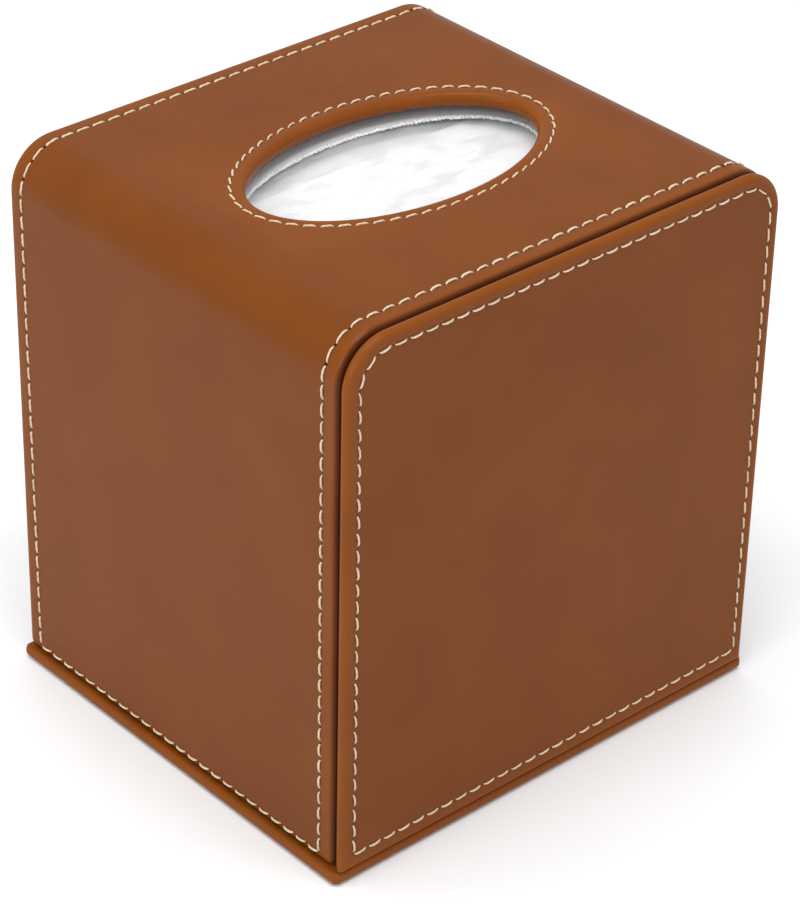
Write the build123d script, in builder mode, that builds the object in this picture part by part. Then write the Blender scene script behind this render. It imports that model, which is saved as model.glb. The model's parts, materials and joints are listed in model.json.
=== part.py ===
from build123d import *
from math import atan2, degrees
import os

# Cube tissue box in stitched leather over board. The casing is a U of boards, closed at the back and
# standing on a base slab. A drawer with a padded front slides out of it and carries the carton.
# Millimetres. X runs along the front, the front faces -Y, Z is up, and the box stands on Z = 0.

# Overall size, over the leather
body_width = 134.0
body_depth = 122.5
box_height = 146.0
corner_radius = 12.0

# Layers of the casing wall, outside to inside
skin = 0.8
casing_board = 2.4
lining = 0.8
casing_roll = 1.7
inner_bevel = 0.9
turn_in = 12.0
sheet_corner = 2.0

# Oval opening in the top
mouth_length = 81.0
mouth_width = 46.6
mouth_end_radius = 16.5
mouth_edge_flat = 0.3
mouth_turn_in = 8.0

# Back panel, let in between the sides
back_recess = 0.6
back_roll = 1.3

# Base slab and the felt under it
base_board_thickness = 1.4
base_side_overhang = 1.5
base_back_overhang = 0.5
base_front_setback = 0.8
base_roll = 1.0
base_corner = 0.9
base_turn_in = 16.0
felt_inset = 3.0
felt_thickness = 0.5

# Drawer front
front_board_thickness = 1.6
front_roll = 1.4
front_gap = 0.3
front_foot_gap = 0.5

# Tray
tray_board = 2.4
tray_wall_height = 32.0
tray_lining_thickness = 0.6
tray_lining_drop = 1.2
tray_rounding = 0.6
glide_felt = 0.6
glide_felt_inset = 4.0
tray_side_gap = 0.6
tray_rear_gap = 0.8
tray_lift = 0.3

# Magnetic catch between the tray's rear board and the back board
magnet_diameter = 8.0
magnet_thickness = 1.5
plate_diameter = 10.0
plate_thickness = 1.0
catch_spacing = 84.0
catch_rise = 14.0

# Carton of tissues, and its clearances to the tray's lining and the casing's top
carton_side_gap = 3.4
carton_end_gap = 0.7
carton_head_gap = 2.6
carton_wall = 0.7
carton_fold = 0.8
carton_mouth_margin = 1.0
film_thickness = 0.3
film_margin = 8.0
film_slit_length = 62.0
film_slit_width = 1.2
tissue_gap = 2.0
tissue_head_room = 1.0
tissue_crown = 1.5
tissue_edge = 3.0

# Heights
base_slab = skin + base_board_thickness + skin
base_top = felt_thickness + base_slab

# The casing's walls, and the planes of its front and back edges
wall = skin + casing_board + lining
front_thickness = skin + front_board_thickness + lining
front_face_y = -(body_depth + base_back_overhang) / 2
front_inner_y = front_face_y + front_thickness
casing_front_y = front_inner_y + front_gap
casing_back_y = front_face_y + body_depth
casing_depth = casing_back_y - casing_front_y

# The leather's roll at the oval, as large as the wall allows with a flat left below it
mouth_roll = (wall - mouth_edge_flat) / 2

# The back panel, as thick as the walls
back_outer_y = casing_back_y - back_recess
back_inner_y = back_outer_y - wall

# The tray, inside the casing
tray_width = body_width - 2 * (wall + tray_side_gap)
tray_rear_y = back_inner_y - tray_rear_gap
tray_length = tray_rear_y - front_inner_y
tray_middle_y = (tray_rear_y + front_inner_y) / 2
tray_inner_width = tray_width - 2 * tray_board
tray_inner_length = tray_length - tray_board
tray_inner_middle_y = front_inner_y + tray_inner_length / 2
glide_bottom = base_top + tray_lift
tray_bottom_z = glide_bottom + glide_felt
tray_floor_z = tray_bottom_z + tray_board
catch_z = tray_bottom_z + catch_rise

# The carton, on the tray's lining
carton_width = tray_inner_width - 2 * (tray_lining_thickness + carton_side_gap)
carton_depth = tray_inner_length - tray_lining_thickness - 2 * carton_end_gap
carton_bottom = tray_floor_z + tray_lining_thickness
carton_top = box_height - wall - carton_head_gap
carton_height = carton_top - carton_bottom
carton_middle_y = tray_inner_middle_y - tray_lining_thickness / 2


def arch(plane, inset, foot):
    """The box's front outline drawn in by inset at its sides and top, with its foot at a height."""
    half = body_width / 2 - inset
    top = box_height - inset
    radius = max(corner_radius - inset, sheet_corner)
    with BuildSketch(plane) as outline:
        with Locations((0, (foot + top) / 2)):
            Rectangle(2 * half, top - foot)
        fillet(outline.vertices().group_by(Axis.Y)[-1], radius)
    return outline.sketch


def oval(height, growth):
    """The opening's oval at a height, grown all round: two end arcs joined by two flatter side arcs."""
    half_length = mouth_length / 2
    half_width = mouth_width / 2
    end_x = half_length - mouth_end_radius
    side_radius = (end_x**2 + half_width**2 - mouth_end_radius**2) / (2 * (half_width - mouth_end_radius))
    side_y = side_radius - half_width
    joint_angle = degrees(atan2(side_y, end_x))
    side_sweep = 180 - 2 * joint_angle
    end_radius = mouth_end_radius + growth
    side_radius += growth
    with BuildSketch(Plane.XY.offset(height)) as outline:
        with BuildLine():
            CenterArc((end_x, 0), end_radius, -joint_angle, 2 * joint_angle)
            CenterArc((0, -side_y), side_radius, joint_angle, side_sweep)
            CenterArc((-end_x, 0), end_radius, 180 - joint_angle, 2 * joint_angle)
            CenterArc((0, side_y), side_radius, 180 + joint_angle, side_sweep)
        make_face()
    return outline.sketch


def slab(width, depth, bottom, thickness, middle_y=0.0):
    """A flat rectangular sheet or board lying at a height."""
    with BuildPart() as sheet:
        with BuildSketch(Plane.XY.offset(bottom)):
            with Locations((0, middle_y)):
                Rectangle(width, depth)
        extrude(amount=thickness)
    return sheet.part


def upright(y, thickness, width, bottom, height):
    """A board standing across the box, its back face at y."""
    with BuildPart() as board:
        with BuildSketch(Plane.XZ.offset(-y)):
            with Locations((0, bottom + height / 2)):
                Rectangle(width, height)
        extrude(amount=thickness)
    return board.part


def discs(y, diameter, thickness):
    """The catch's pair of discs, their back faces at y."""
    with BuildPart() as pair:
        with BuildSketch(Plane.XZ.offset(-y)):
            with Locations((-catch_spacing / 2, catch_z), (catch_spacing / 2, catch_z)):
                Circle(diameter / 2)
        extrude(amount=thickness)
    return pair.part


def save(builder, name):
    """Labels a finished piece and writes it."""
    builder.part.label = name
    export_step(builder.part, f"parts/{name}.step")


os.makedirs("parts", exist_ok=True)


# ---- Casing: core of boards, lining and outer leather ----

casing_back_plane = Plane.XZ.offset(-casing_back_y)
core_back_plane = Plane.XZ.offset(-(casing_back_y - skin))
core_depth = casing_depth - 2 * skin
core_foot = base_top + skin
core_outer = arch(core_back_plane, skin, core_foot)
core_inner = arch(core_back_plane, skin + casing_board, core_foot)

def oval_arc(edge):
    """Whether an edge is one of the oval's arcs."""
    return edge.geom_type == GeomType.CIRCLE and edge.radius >= mouth_end_radius


# One bent core: its edges are bevelled so that the leather can roll round them
with BuildPart() as casing_core:
    extrude(core_outer, amount=core_depth)
    extrude(core_inner, amount=core_depth, mode=Mode.SUBTRACT)
    core_rims = casing_core.edges().group_by(Axis.Y)
    core_feet = casing_core.edges().group_by(Axis.Z)[0].filter_by(Axis.Y)
    chamfer(core_rims[0] + core_rims[-1] + core_feet, casing_roll - skin)
    extrude(oval(box_height - wall, skin), amount=wall, mode=Mode.SUBTRACT)
    chamfer(casing_core.edges().filter_by(oval_arc), mouth_roll - skin)

side_board_x = body_width / 2 - corner_radius
board_joint_z = box_height - corner_radius

with BuildPart() as left_board:
    add(casing_core.part)
    split(bisect_by=Plane.XY.offset(board_joint_z), keep=Keep.BOTTOM)
    split(bisect_by=Plane.YZ, keep=Keep.BOTTOM)
save(left_board, "left_board")

with BuildPart() as right_board:
    add(left_board.part)
    mirror(about=Plane.YZ, mode=Mode.REPLACE)
save(right_board, "right_board")

with BuildPart() as top_board:
    add(casing_core.part)
    split(bisect_by=Plane.YZ.offset(side_board_x), keep=Keep.BOTTOM)
    split(bisect_by=Plane.YZ.offset(-side_board_x), keep=Keep.TOP)
save(top_board, "top_board")

with BuildPart() as left_moulding:
    add(casing_core.part)
    split(bisect_by=Plane.XY.offset(board_joint_z), keep=Keep.TOP)
    split(bisect_by=Plane.YZ.offset(-side_board_x), keep=Keep.BOTTOM)
save(left_moulding, "left_corner_moulding")

with BuildPart() as right_moulding:
    add(left_moulding.part)
    mirror(about=Plane.YZ, mode=Mode.REPLACE)
save(right_moulding, "right_corner_moulding")

# The lining is one sheet up the left side, across the top and down the right side, and stops short
# of the leather that is turned in at the mouth of the drawer, the feet, the back and the oval.
lining_back_plane = Plane.XZ.offset(-back_inner_y)
lining_depth = back_inner_y - casing_front_y - turn_in
lining_outer = arch(lining_back_plane, skin + casing_board, base_top + turn_in)
lining_inner = arch(lining_back_plane, wall, base_top + turn_in)

with BuildPart() as casing_lining:
    extrude(lining_outer, amount=lining_depth)
    extrude(lining_inner, amount=lining_depth, mode=Mode.SUBTRACT)
    extrude(oval(box_height - wall, mouth_turn_in), amount=wall, mode=Mode.SUBTRACT)
save(casing_lining, "casing_lining")

casing_outer = arch(casing_back_plane, 0, base_top)
casing_inner = arch(casing_back_plane, wall, base_top)


def on_wall_inside(edge):
    """Whether an edge lies on the inner side of the casing's walls."""
    middle = edge.center()
    return abs(middle.X) < (body_width - wall) / 2 and middle.Z < box_height - wall / 2


# The leather is the rolled outside of the wall, less what it is wrapped round. It rolls over the
# outer edges and the top edge of the oval. At the inner edges and under the oval, where it is turned
# in, it is pressed flat.
with BuildPart() as casing_leather:
    extrude(casing_outer, amount=casing_depth)
    outer_rims = casing_leather.edges().group_by(Axis.Y)
    outer_feet = casing_leather.edges().group_by(Axis.Z)[0].filter_by(Axis.Y)
    fillet(outer_rims[0] + outer_rims[-1] + outer_feet, casing_roll)
    extrude(casing_inner, amount=casing_depth, mode=Mode.SUBTRACT)
    inner_edges = casing_leather.edges().filter_by(on_wall_inside)
    inner_rims = inner_edges.group_by(Axis.Y)
    inner_feet = inner_edges.group_by(Axis.Z)[0].filter_by(Axis.Y)
    chamfer(inner_rims[0] + inner_rims[-1] + inner_feet, inner_bevel)
    extrude(oval(box_height - wall, 0), amount=wall, mode=Mode.SUBTRACT)
    mouth_rims = casing_leather.edges().filter_by(oval_arc).group_by(Axis.Z)
    fillet(mouth_rims[-1], mouth_roll)
    chamfer(mouth_rims[0], mouth_roll - skin / 2)
    add(casing_core.part, mode=Mode.SUBTRACT)
    add(casing_lining.part, mode=Mode.SUBTRACT)
save(casing_leather, "casing_leather")


# ---- Back panel ----

back_core_y = back_outer_y - skin
back_core_depth = casing_board
catch_plate_y = back_core_y - back_core_depth + plate_thickness

with BuildPart() as catch_plates:
    add(discs(catch_plate_y, plate_diameter, plate_thickness))
save(catch_plates, "catch_plates")

with BuildPart() as back_core:
    extrude(arch(Plane.XZ.offset(-back_core_y), wall + skin, base_top + skin), amount=back_core_depth)
    chamfer(back_core.edges().group_by(Axis.Y)[-1], back_roll - skin)

with BuildPart() as back_board:
    add(back_core.part)
    add(catch_plates.part, mode=Mode.SUBTRACT)
save(back_board, "back_board")

back_lining_y = back_inner_y + lining

with BuildPart() as back_lining:
    extrude(arch(Plane.XZ.offset(-back_lining_y), wall + turn_in / 2, base_top + turn_in), amount=lining)
save(back_lining, "back_lining")

with BuildPart() as back_leather:
    extrude(arch(Plane.XZ.offset(-back_outer_y), wall, base_top), amount=wall)
    chamfer(back_leather.edges().group_by(Axis.Y)[-1], back_roll - skin / 2)
    add(back_core.part, mode=Mode.SUBTRACT)
    add(back_lining.part, mode=Mode.SUBTRACT)
save(back_leather, "back_leather")


# ---- Base ----

base_width = body_width + 2 * base_side_overhang
base_depth = body_depth - base_front_setback + base_back_overhang
base_middle_y = base_front_setback / 2
base_board_bottom = felt_thickness + skin
base_board_width = base_width - 2 * skin
base_board_depth = base_depth - 2 * skin

with BuildPart() as base_board:
    add(slab(base_board_width, base_board_depth, base_board_bottom, base_board_thickness, base_middle_y))
    chamfer(base_board.faces().filter_by(Axis.Z).edges(), base_roll - skin)
save(base_board, "base_board")

base_window_width = base_width - 2 * base_turn_in
base_window_depth = base_depth - 2 * base_turn_in

# The felt covers the underside and fills the space that the turned-in leather leaves
with BuildPart() as base_felt:
    add(slab(base_width - 2 * felt_inset, base_depth - 2 * felt_inset, 0, felt_thickness, base_middle_y))
    add(slab(base_window_width, base_window_depth, felt_thickness, skin, base_middle_y))
save(base_felt, "base_felt")

with BuildPart() as base_leather:
    add(slab(base_width, base_depth, felt_thickness, base_slab, base_middle_y))
    fillet(base_leather.edges().filter_by(Axis.Z), base_corner)
    fillet(base_leather.faces().sort_by(Axis.Z)[-1].edges(), base_roll)
    chamfer(base_leather.faces().sort_by(Axis.Z)[0].edges(), base_roll - skin / 2)
    add(base_board.part, mode=Mode.SUBTRACT)
    add(base_felt.part, mode=Mode.SUBTRACT)
save(base_leather, "base_leather")


# ---- Drawer front ----

front_foot = base_top + front_foot_gap
front_board_y = front_inner_y - lining

with BuildPart() as front_board:
    extrude(arch(Plane.XZ.offset(-front_board_y), skin, front_foot + skin), amount=front_board_thickness)
    front_board_rims = front_board.edges().group_by(Axis.Y)
    chamfer(front_board_rims[0] + front_board_rims[-1], front_roll - skin)
save(front_board, "front_board")

with BuildPart() as front_lining:
    extrude(arch(Plane.XZ.offset(-front_inner_y), turn_in, front_foot + turn_in), amount=lining)
save(front_lining, "front_lining")

with BuildPart() as front_leather:
    extrude(arch(Plane.XZ.offset(-front_inner_y), 0, front_foot), amount=front_thickness)
    front_rims = front_leather.edges().group_by(Axis.Y)
    fillet(front_rims[0], front_roll)
    chamfer(front_rims[-1], front_roll - skin / 2)
    add(front_board.part, mode=Mode.SUBTRACT)
    add(front_lining.part, mode=Mode.SUBTRACT)
save(front_leather, "front_leather")


# ---- Tray ----

tray_side_middle_x = (tray_width - tray_board) / 2

with BuildPart() as tray_bottom:
    add(slab(tray_inner_width, tray_inner_length, tray_bottom_z, tray_board, tray_inner_middle_y))
save(tray_bottom, "tray_bottom")

with BuildPart() as tray_left_side:
    with BuildSketch(Plane.XY.offset(tray_bottom_z)):
        with Locations((-tray_side_middle_x, tray_inner_middle_y)):
            Rectangle(tray_board, tray_inner_length)
    extrude(amount=tray_wall_height)
    left_side_top = tray_left_side.faces().sort_by(Axis.Z)[-1]
    fillet(left_side_top.edges().filter_by(Axis.Y), tray_rounding)
save(tray_left_side, "tray_left_side")

with BuildPart() as tray_right_side:
    add(tray_left_side.part)
    mirror(about=Plane.YZ, mode=Mode.REPLACE)
save(tray_right_side, "tray_right_side")

with BuildPart() as catch_magnets:
    add(discs(tray_rear_y, magnet_diameter, magnet_thickness))
save(catch_magnets, "catch_magnets")

with BuildPart() as tray_rear:
    add(upright(tray_rear_y, tray_board, tray_width, tray_bottom_z, tray_wall_height))
    rear_top = tray_rear.faces().sort_by(Axis.Z)[-1]
    fillet(rear_top.edges().filter_by(Axis.X), tray_rounding)
    add(catch_magnets.part, mode=Mode.SUBTRACT)
save(tray_rear, "tray_rear")

# The lining is one sheet folded up the tray's three walls
with BuildPart() as tray_lining:
    with BuildSketch(Plane.XY.offset(tray_floor_z)):
        with Locations((0, tray_inner_middle_y)):
            Rectangle(tray_inner_width, tray_inner_length)
    extrude(amount=tray_wall_height - tray_board - tray_lining_drop)
    with BuildSketch(Plane.XY.offset(carton_bottom)):
        with Locations((0, carton_middle_y)):
            Rectangle(carton_width + 2 * carton_side_gap, carton_depth + 2 * carton_end_gap)
    extrude(amount=tray_wall_height, mode=Mode.SUBTRACT)
save(tray_lining, "tray_lining")

with BuildPart() as tray_felt:
    add(
        slab(
            tray_width - 2 * glide_felt_inset,
            tray_length - 2 * glide_felt_inset,
            glide_bottom,
            glide_felt,
            tray_middle_y,
        )
    )
save(tray_felt, "tray_felt")


# ---- Carton of tissues ----

carton_inner_top = carton_top - carton_wall

with BuildPart() as carton:
    add(slab(carton_width, carton_depth, carton_bottom, carton_height, carton_middle_y))
    fillet(carton.edges().filter_by(Axis.Z), carton_fold)
    add(
        slab(
            carton_width - 2 * carton_wall,
            carton_depth - 2 * carton_wall,
            carton_bottom + carton_wall,
            carton_height - 2 * carton_wall,
            carton_middle_y,
        ),
        mode=Mode.SUBTRACT,
    )
    extrude(oval(carton_inner_top, carton_mouth_margin), amount=carton_wall, mode=Mode.SUBTRACT)
save(carton, "carton")

# The film is a rectangle glued under the carton's top, with a slit that the tissues are drawn through
film_length = mouth_length + 2 * (carton_mouth_margin + film_margin)
film_width = mouth_width + 2 * (carton_mouth_margin + film_margin)
film_bottom = carton_inner_top - film_thickness

with BuildPart() as carton_film:
    add(slab(film_length, film_width, film_bottom, film_thickness))
    with BuildSketch(Plane.XY.offset(film_bottom)):
        SlotOverall(film_slit_length, film_slit_width)
    extrude(amount=film_thickness, mode=Mode.SUBTRACT)
save(carton_film, "carton_film")

tissue_width = carton_width - 2 * (carton_wall + tissue_gap)
tissue_depth = carton_depth - 2 * (carton_wall + tissue_gap)
tissue_bottom = carton_bottom + carton_wall
tissue_top = film_bottom - tissue_head_room

# The stack is a block of folded sheets, slightly crowned where they bulge towards the opening
with BuildPart() as tissues:
    with BuildSketch(Plane.XZ.offset(-(carton_middle_y + tissue_depth / 2))):
        with BuildLine():
            Polyline(
                (-tissue_width / 2, tissue_top - tissue_crown),
                (-tissue_width / 2, tissue_bottom),
                (tissue_width / 2, tissue_bottom),
                (tissue_width / 2, tissue_top - tissue_crown),
            )
            ThreePointArc(
                (-tissue_width / 2, tissue_top - tissue_crown),
                (0, tissue_top),
                (tissue_width / 2, tissue_top - tissue_crown),
            )
        make_face()
    extrude(amount=tissue_depth)
    fillet(tissues.edges().filter_by(Axis.Z), tissue_edge)
save(tissues, "tissues")

drawer_travel = tray_rear_y - casing_front_y
print("drawer travel until the tray is free:", round(drawer_travel, 2))
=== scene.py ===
import json
import math
import random

import bmesh
import bpy
from mathutils import Matrix, Vector


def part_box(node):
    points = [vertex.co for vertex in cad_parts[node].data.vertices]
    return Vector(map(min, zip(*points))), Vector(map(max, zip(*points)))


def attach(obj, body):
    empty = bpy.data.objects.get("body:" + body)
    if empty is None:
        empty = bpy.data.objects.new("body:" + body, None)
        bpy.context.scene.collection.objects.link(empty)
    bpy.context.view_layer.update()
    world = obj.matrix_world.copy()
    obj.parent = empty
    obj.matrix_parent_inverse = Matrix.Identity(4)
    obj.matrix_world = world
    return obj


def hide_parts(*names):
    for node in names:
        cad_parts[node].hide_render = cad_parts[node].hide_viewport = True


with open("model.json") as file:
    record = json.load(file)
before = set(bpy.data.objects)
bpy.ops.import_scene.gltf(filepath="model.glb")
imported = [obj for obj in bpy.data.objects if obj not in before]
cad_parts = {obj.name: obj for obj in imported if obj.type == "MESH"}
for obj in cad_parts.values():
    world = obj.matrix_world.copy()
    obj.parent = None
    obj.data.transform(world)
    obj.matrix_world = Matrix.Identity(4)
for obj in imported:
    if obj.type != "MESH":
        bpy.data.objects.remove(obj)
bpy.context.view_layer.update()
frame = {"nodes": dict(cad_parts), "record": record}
mm = 0.001
chance = random.Random(11)
sameSpot = 0.02 * mm      # two places this near are the same
sameFace = 0.05 * mm      # a corner this near a rounded surface lies on it
sameOval = 0.003          # a corner lies on an oval if it misses it by less than this share of its size
print("frame loaded:", len(frame["nodes"]), "nodes")


def clearSelection():
    bpy.ops.object.select_all(action="DESELECT")


def makeActive(piece):
    clearSelection()
    piece.select_set(True)
    bpy.context.view_layer.objects.active = piece


def openMesh(piece):
    makeActive(piece)
    bpy.ops.object.mode_set(mode="EDIT")
    bpy.ops.mesh.select_all(action="DESELECT")


def closeMesh():
    bpy.ops.object.mode_set(mode="OBJECT")


def nameAndSettle(name):
    # the object goes back to the origin, with its place kept in its mesh
    piece = bpy.context.object
    piece.name = name
    piece.data.name = name
    bpy.ops.object.transform_apply(location=True, rotation=True, scale=True)
    return piece


def addBlock(name, low, high):
    clearSelection()
    bpy.ops.mesh.primitive_cube_add(size=1, location=(low + high) / 2, scale=high - low)
    return nameAndSettle(name)


def middleOf(element):
    corners = element.verts
    return sum((corner.co for corner in corners), Vector()) / len(corners)


def pick(piece, kind, test):
    # selects the corners, edges or faces that pass the test, and nothing else
    bpy.ops.mesh.select_mode(type=kind)
    bpy.ops.mesh.select_all(action="DESELECT")
    mesh = bmesh.from_edit_mesh(piece.data)
    mesh.normal_update()
    for element in {"VERT": mesh.verts, "EDGE": mesh.edges, "FACE": mesh.faces}[kind]:
        if test(element):
            element.select_set(True)
    bmesh.update_edit_mesh(piece.data)


def near(a, b, slack=sameSpot):
    return abs(a - b) < slack


def allAt(edge, axis, value):
    return all(near(corner.co[axis], value) for corner in edge.verts)


def isUpright(edge):
    first = edge.verts[0].co
    return allAt(edge, 0, first.x) and allAt(edge, 1, first.y)


def cutLoop(point, normal):
    bpy.ops.mesh.select_all(action="SELECT")
    bpy.ops.mesh.bisect(plane_co=point, plane_no=normal)


def pullIn(piece, test, amount):
    pick(piece, "VERT", test)
    bpy.ops.transform.shrink_fatten(value=-amount)


def useModifier(piece, kind, **settings):
    makeActive(piece)
    bpy.ops.object.modifier_add(type=kind)
    modifier = piece.modifiers[-1]
    for name, value in settings.items():
        setattr(modifier, name, value)
    bpy.ops.object.modifier_apply(modifier=modifier.name)


def faceOutwards(piece):
    openMesh(piece)
    bpy.ops.mesh.select_all(action="SELECT")
    bpy.ops.mesh.remove_doubles(threshold=0.002 * mm)
    bpy.ops.mesh.normals_make_consistent(inside=False)
    closeMesh()


def paint(piece, name, share):
    # stores a share from 0 to 1 on each corner of the mesh, which its material reads
    amount = piece.data.attributes.new(name, "FLOAT", "POINT")
    for corner, stored in zip(piece.data.vertices, amount.data):
        stored.value = max(0.0, min(1.0, share(corner.co)))


def smoothShade(piece, degrees):
    makeActive(piece)
    bpy.ops.object.shade_smooth_by_angle(angle=math.radians(degrees))
    useModifier(piece, "WEIGHTED_NORMAL", keep_sharp=True, weight=60)


def finishPiece(piece, material, body, node=None, degrees=50):
    # material, shading, the body it moves with and the CAD node it stands for
    piece.data.materials.append(material)
    smoothShade(piece, degrees)
    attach(piece, body)
    if node:
        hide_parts(node)
    print(piece.name, "faces:", len(piece.data.polygons))


def newMaterial(name, roughness, **sockets):
    material = bpy.data.materials.new(name)
    material.use_nodes = True
    shader = material.node_tree.nodes["Principled BSDF"]
    shader.inputs["Roughness"].default_value = roughness
    for socket, value in sockets.items():
        shader.inputs[socket.replace("_", " ")].default_value = value
    return material, shader


def addNode(material, kind, **sockets):
    node = material.node_tree.nodes.new(kind)
    for socket, value in sockets.items():
        node.inputs[socket].default_value = value
    return node


def wire(material, source, output, target, socket):
    material.node_tree.links.new(source.outputs[output], target.inputs[socket])


def noise(material, scale, detail=3.0, stretch=(1, 1, 1)):
    # a noise pattern on the piece's own metres
    place = addNode(material, "ShaderNodeTexCoord")
    mapping = addNode(material, "ShaderNodeMapping", Scale=stretch)
    pattern = addNode(material, "ShaderNodeTexNoise", Scale=scale, Detail=detail)
    wire(material, place, "Object", mapping, "Vector")
    wire(material, mapping, "Vector", pattern, "Vector")
    return pattern


def pebbles(material, scale):
    place = addNode(material, "ShaderNodeTexCoord")
    pattern = addNode(material, "ShaderNodeTexVoronoi", Scale=scale)
    wire(material, place, "Object", pattern, "Vector")
    return pattern


def attribute(material, name):
    node = addNode(material, "ShaderNodeAttribute")
    node.attribute_name = name
    return node


def ramp(material, source, output, stops):
    node = addNode(material, "ShaderNodeValToRGB")
    node.color_ramp.elements.remove(node.color_ramp.elements[1])
    node.color_ramp.elements[0].position = stops[0][0]
    node.color_ramp.elements[0].color = (*stops[0][1], 1)
    for position, colour in stops[1:]:
        node.color_ramp.elements.new(position).color = (*colour, 1)
    wire(material, source, output, node, "Fac")
    return node


mixSockets = {"factor": 0, "first": 6, "second": 7, "result": 2}   # a Mix node's, when it mixes colours


def colourOf(node):
    return mixSockets["result"] if node.type == "MIX" else "Color"


def mixColours(material, factor, factorOutput, first, second):
    node = addNode(material, "ShaderNodeMix")
    node.data_type = "RGBA"
    wire(material, factor, factorOutput, node, mixSockets["factor"])
    wire(material, first, colourOf(first), node, mixSockets["first"])
    wire(material, second, colourOf(second), node, mixSockets["second"])
    return node


def colourFrom(material, shader, node):
    wire(material, node, colourOf(node), shader, "Base Color")


def roughnessFrom(material, shader, pattern, low, high):
    # most of a noise pattern lies between 0.3 and 0.7
    spread = addNode(material, "ShaderNodeMapRange")
    spread.inputs["From Min"].default_value = 0.3
    spread.inputs["From Max"].default_value = 0.7
    spread.inputs["To Min"].default_value = low
    spread.inputs["To Max"].default_value = high
    wire(material, pattern, "Fac", spread, "Value")
    wire(material, spread, "Result", shader, "Roughness")


def bumpFrom(material, shader, layers):
    # layers of (node, output, strength, height in metres), each added on the one before
    above = None
    for source, output, strength, height in layers:
        bump = addNode(material, "ShaderNodeBump", Strength=strength, Distance=height)
        wire(material, source, output, bump, "Height")
        if above:
            wire(material, above, "Normal", bump, "Normal")
        above = bump
    wire(material, above, "Normal", shader, "Normal")


leatherLook = {
    "flat": [
        (0.30, (0.166, 0.0445, 0.0056)),
        (0.50, (0.175, 0.0475, 0.0063)),
        (0.70, (0.186, 0.0510, 0.0070)),
    ],
    "rolled": [   # painted light: lighter and more saturated, as light falls on the leather round an edge or an opening
        (0.30, (0.212, 0.0550, 0.0052)),
        (0.50, (0.225, 0.0590, 0.0058)),
        (0.70, (0.240, 0.0640, 0.0066)),
    ],
    "grooveShaded": [   # painted shade where the leather turns down between the casing and the drawer's front
        (0.30, (0.050, 0.009, 0.0015)),
        (0.70, (0.070, 0.014, 0.0025)),
    ],
    "cloudScale": 42,
    "swellScale": 160,
    "grainScale": 1500,
    "poreScale": 2600,
    "roughness": (0.34, 0.44),
    "specular": 0.04,
    "coat": 0.15,
    "coatRoughness": 0.16,
}


def makeLeather():
    look = leatherLook
    material, shader = newMaterial("saddle leather", 0.38, Specular_IOR_Level=look["specular"],
                                   Coat_Weight=look["coat"], Coat_Roughness=look["coatRoughness"])
    cloud = noise(material, look["cloudScale"], detail=4.0)
    flat = ramp(material, cloud, "Fac", look["flat"])
    rolled = ramp(material, cloud, "Fac", look["rolled"])
    grooveShaded = ramp(material, cloud, "Fac", look["grooveShaded"])
    # painted light: the roll share lightens and saturates the leather on its rolled edges
    surface = mixColours(material, attribute(material, "roll"), "Fac", flat, rolled)
    # painted shade: the groove share darkens the leather where it turns down between the casing and the
    # drawer's front
    colourFrom(material, shader, mixColours(material, attribute(material, "groove_shade"), "Fac", surface, grooveShaded))
    pores = noise(material, look["poreScale"], detail=2.0)
    grain = pebbles(material, look["grainScale"])
    swell = noise(material, look["swellScale"], detail=2.0)
    roughnessFrom(material, shader, noise(material, scale=300), *look["roughness"])
    bumpFrom(material, shader, [
        (swell, "Fac", 0.10, 0.10 * mm),
        (grain, "Distance", 0.10, 0.05 * mm),
        (pores, "Fac", 0.12, 0.03 * mm),
    ])
    return material


def makeThread():
    material, shader = newMaterial("waxed linen thread", 0.55, Sheen_Weight=0.15)
    fibre = noise(material, scale=4200)
    colourFrom(material, shader, ramp(material, fibre, "Fac", [
        (0.3, (0.50, 0.37, 0.23)),
        (0.5, (0.70, 0.56, 0.39)),
        (0.7, (0.82, 0.69, 0.52)),
    ]))
    bumpFrom(material, shader, [(fibre, "Fac", 0.4, 0.05 * mm)])
    return material


# painted shade: a near-black colour for the disc that stands in for a needle hole's dark opening
def makeNeedleHoleShade():
    material, shader = newMaterial("needle hole shade", 0.9, Specular_IOR_Level=0.1)
    holeShadeMottle = noise(material, scale=3000, detail=2.0)
    colourFrom(material, shader, ramp(material, holeShadeMottle, "Fac", [
        (0.35, (0.012, 0.006, 0.002)),
        (0.65, (0.045, 0.024, 0.008)),
    ]))
    return material


def makeBoard():
    material, shader = newMaterial("grey board", 0.9)
    fleck = noise(material, scale=900, detail=5.0)
    layer = noise(material, scale=120, detail=2.0, stretch=(1, 1, 12))
    base = ramp(material, fleck, "Fac", [(0.35, (0.20, 0.17, 0.13)), (0.65, (0.36, 0.32, 0.26))])
    bands = ramp(material, layer, "Fac", [(0.4, (0.24, 0.21, 0.17)), (0.6, (0.31, 0.28, 0.23))])
    colourFrom(material, shader, mixColours(material, fleck, "Fac", base, bands))
    bumpFrom(material, shader, [(fleck, "Fac", 0.4, 0.1 * mm)])
    return material


def makeBeech():
    material, shader = newMaterial("planed beech", 0.55)
    grain = noise(material, scale=90, detail=4.0, stretch=(6, 0.35, 6))
    fleck = noise(material, scale=900, detail=2.0, stretch=(1, 0.12, 1))
    base = ramp(material, grain, "Fac", [
        (0.35, (0.42, 0.25, 0.12)),
        (0.50, (0.55, 0.35, 0.18)),
        (0.65, (0.62, 0.42, 0.24)),
    ])
    marks = ramp(material, fleck, "Fac", [(0.3, (0.34, 0.19, 0.09)), (0.45, (0.58, 0.38, 0.20))])
    colourFrom(material, shader, mixColours(material, fleck, "Fac", marks, base))
    bumpFrom(material, shader, [(grain, "Fac", 0.25, 0.08 * mm)])
    return material


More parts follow.
